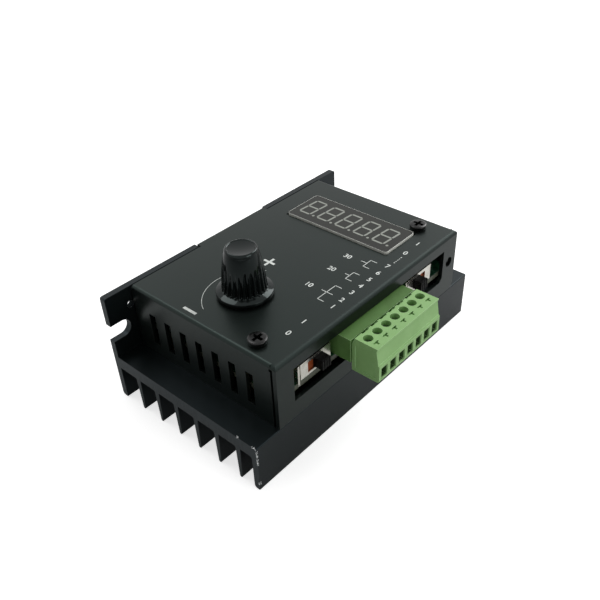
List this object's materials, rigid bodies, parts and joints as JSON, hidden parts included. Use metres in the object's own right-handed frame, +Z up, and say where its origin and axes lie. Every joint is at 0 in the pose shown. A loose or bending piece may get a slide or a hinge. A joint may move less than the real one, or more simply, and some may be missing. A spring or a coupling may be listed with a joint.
{
  "type": "current source module",
  "caption": "Bench current source with a finned heat sink, folded cover, dial, digit display, slide switches and a pluggable screw terminal.",
  "frame": {"origin": "middle of the module's outline, at the level of the fin tips it stands on", "axes": "+X along the heat sink from the dial end to the display end, +Y from the terminal side to the mounting wall, +Z up through the cover"},
  "size_m": [0.096, 0.0688, 0.0496],
  "materials": {
    "black_anodised_aluminium": "black anodised extrusion, satin",
    "black_painted_sheet": "satin black powder coat on folded sheet",
    "black_oxide_steel": "black oxide",
    "zinc_plated_steel": "bright zinc plate",
    "brass": "turned brass",
    "green_circuit_board": "green solder mask on glass-epoxy laminate",
    "tinned_copper": "tin plate",
    "spring_bronze": "spring bronze",
    "green_terminal_plastic": "moulded green polyamide",
    "brown_laminate": "phenolic laminate",
    "black_plastic": "moulded black, slightly glossy",
    "black_epoxy": "moulded epoxy",
    "die_cast_zinc": "die-cast, dull",
    "grey_display_plastic": "moulded grey",
    "display_face_black": "printed black face",
    "display_segment_cream": "translucent, unlit",
    "capacitor_aluminium": "bare can",
    "ferrite": "ferrite, dull",
    "silicone_pad": "soft grey silicone"
  },
  "bodies": {
    "case": {"heat_sink": "black_anodised_aluminium", "cover": "black_painted_sheet", "cover_screws": "black_oxide_steel", "tall_posts": "brass", "short_posts": "brass", "board_screws": "zinc_plated_steel", "circuit_board": "green_circuit_board", "power_transistors": "black_epoxy", "thermal_pads": "silicone_pad", "transistor_screws": "zinc_plated_steel", "terminal_header": "green_terminal_plastic", "header_pins": "tinned_copper", "range_switch_frame": "tinned_copper", "range_switch_base": "brown_laminate", "range_switch_terminals": "tinned_copper", "mode_switch_frame": "tinned_copper", "mode_switch_base": "brown_laminate", "mode_switch_terminals": "tinned_copper", "dial_housing": "die_cast_zinc", "dial_base": "brown_laminate", "dial_terminals": "tinned_copper", "display_housing": "grey_display_plastic", "display_face": "display_face_black", "display_segments": "display_segment_cream", "display_pins": "tinned_copper", "capacitors": "capacitor_aluminium", "inductor": "ferrite", "controller_chip": "black_epoxy", "amplifier_chips": "black_epoxy", "sense_resistor": "black_epoxy"},
    "dial": {"knob": "black_plastic", "dial_shaft": "zinc_plated_steel"},
    "range_slider": {"range_switch_thumb": "black_plastic", "range_switch_bridge": "spring_bronze"},
    "mode_slider": {"mode_switch_thumb": "black_plastic", "mode_switch_bridge": "spring_bronze"},
    "plug": {"plug_housing": "green_terminal_plastic", "plug_contacts": "spring_bronze"},
    "clamp_screw_1": {"clamp_screw_1": "zinc_plated_steel"},
    "wire_clamp_1": {"wire_clamp_1": "tinned_copper"},
    "clamp_screw_2": {"clamp_screw_2": "zinc_plated_steel"},
    "wire_clamp_2": {"wire_clamp_2": "tinned_copper"},
    "clamp_screw_3": {"clamp_screw_3": "zinc_plated_steel"},
    "wire_clamp_3": {"wire_clamp_3": "tinned_copper"},
    "clamp_screw_4": {"clamp_screw_4": "zinc_plated_steel"},
    "wire_clamp_4": {"wire_clamp_4": "tinned_copper"},
    "clamp_screw_5": {"clamp_screw_5": "zinc_plated_steel"},
    "wire_clamp_5": {"wire_clamp_5": "tinned_copper"},
    "clamp_screw_6": {"clamp_screw_6": "zinc_plated_steel"},
    "wire_clamp_6": {"wire_clamp_6": "tinned_copper"},
    "clamp_screw_7": {"clamp_screw_7": "zinc_plated_steel"},
    "wire_clamp_7": {"wire_clamp_7": "tinned_copper"}
  },
  "joints": [
    {"name": "dial_turn", "type": "hinge", "parent": "case", "child": "dial", "pos_m": [-0.0226, 0.00495, 0.04], "axis": [0, 0, 1], "range_deg": [-150, 150]},
    {"name": "range_switch_slide", "type": "slide", "parent": "case", "child": "range_slider", "axis": [1, 0, 0], "range_m": [-0.0024, 0]},
    {"name": "mode_switch_slide", "type": "slide", "parent": "case", "child": "mode_slider", "axis": [1, 0, 0], "range_m": [0, 0.0024]},
    {"name": "plug_pull", "type": "slide", "parent": "case", "child": "plug", "axis": [0, -1, 0], "range_m": [0, 0.012]},
    {"name": "clamp_screw_1_turn", "type": "hinge", "parent": "plug", "child": "clamp_screw_1", "pos_m": [-0.01373, -0.02895, 0.029], "axis": [0, 0, -1], "range_deg": [0, 1440]},
    {"name": "wire_clamp_1_rise", "type": "slide", "parent": "plug", "child": "wire_clamp_1", "axis": [0, 0, 1], "range_m": [0, 0.0016]},
    {"name": "clamp_screw_2_turn", "type": "hinge", "parent": "plug", "child": "clamp_screw_2", "pos_m": [-0.00992, -0.02895, 0.029], "axis": [0, 0, -1], "range_deg": [0, 1440]},
    {"name": "wire_clamp_2_rise", "type": "slide", "parent": "plug", "child": "wire_clamp_2", "axis": [0, 0, 1], "range_m": [0, 0.0016]},
    {"name": "clamp_screw_3_turn", "type": "hinge", "parent": "plug", "child": "clamp_screw_3", "pos_m": [-0.00611, -0.02895, 0.029], "axis": [0, 0, -1], "range_deg": [0, 1440]},
    {"name": "wire_clamp_3_rise", "type": "slide", "parent": "plug", "child": "wire_clamp_3", "axis": [0, 0, 1], "range_m": [0, 0.0016]},
    {"name": "clamp_screw_4_turn", "type": "hinge", "parent": "plug", "child": "clamp_screw_4", "pos_m": [-0.0023, -0.02895, 0.029], "axis": [0, 0, -1], "range_deg": [0, 1440]},
    {"name": "wire_clamp_4_rise", "type": "slide", "parent": "plug", "child": "wire_clamp_4", "axis": [0, 0, 1], "range_m": [0, 0.0016]},
    {"name": "clamp_screw_5_turn", "type": "hinge", "parent": "plug", "child": "clamp_screw_5", "pos_m": [0.00151, -0.02895, 0.029], "axis": [0, 0, -1], "range_deg": [0, 1440]},
    {"name": "wire_clamp_5_rise", "type": "slide", "parent": "plug", "child": "wire_clamp_5", "axis": [0, 0, 1], "range_m": [0, 0.0016]},
    {"name": "clamp_screw_6_turn", "type": "hinge", "parent": "plug", "child": "clamp_screw_6", "pos_m": [0.00532, -0.02895, 0.029], "axis": [0, 0, -1], "range_deg": [0, 1440]},
    {"name": "wire_clamp_6_rise", "type": "slide", "parent": "plug", "child": "wire_clamp_6", "axis": [0, 0, 1], "range_m": [0, 0.0016]},
    {"name": "clamp_screw_7_turn", "type": "hinge", "parent": "plug", "child": "clamp_screw_7", "pos_m": [0.00913, -0.02895, 0.029], "axis": [0, 0, -1], "range_deg": [0, 1440]},
    {"name": "wire_clamp_7_rise", "type": "slide", "parent": "plug", "child": "wire_clamp_7", "axis": [0, 0, 1], "range_m": [0, 0.0016]}
  ],
  "couplings": [
    {"joint": "clamp_screw_1_turn", "follows": "wire_clamp_1_rise", "rad_per_m": 15706},
    {"joint": "clamp_screw_2_turn", "follows": "wire_clamp_2_rise", "rad_per_m": 15706},
    {"joint": "clamp_screw_3_turn", "follows": "wire_clamp_3_rise", "rad_per_m": 15706},
    {"joint": "clamp_screw_4_turn", "follows": "wire_clamp_4_rise", "rad_per_m": 15706},
    {"joint": "clamp_screw_5_turn", "follows": "wire_clamp_5_rise", "rad_per_m": 15706},
    {"joint": "clamp_screw_6_turn", "follows": "wire_clamp_6_rise", "rad_per_m": 15706},
    {"joint": "clamp_screw_7_turn", "follows": "wire_clamp_7_rise", "rad_per_m": 15706}
  ]
}
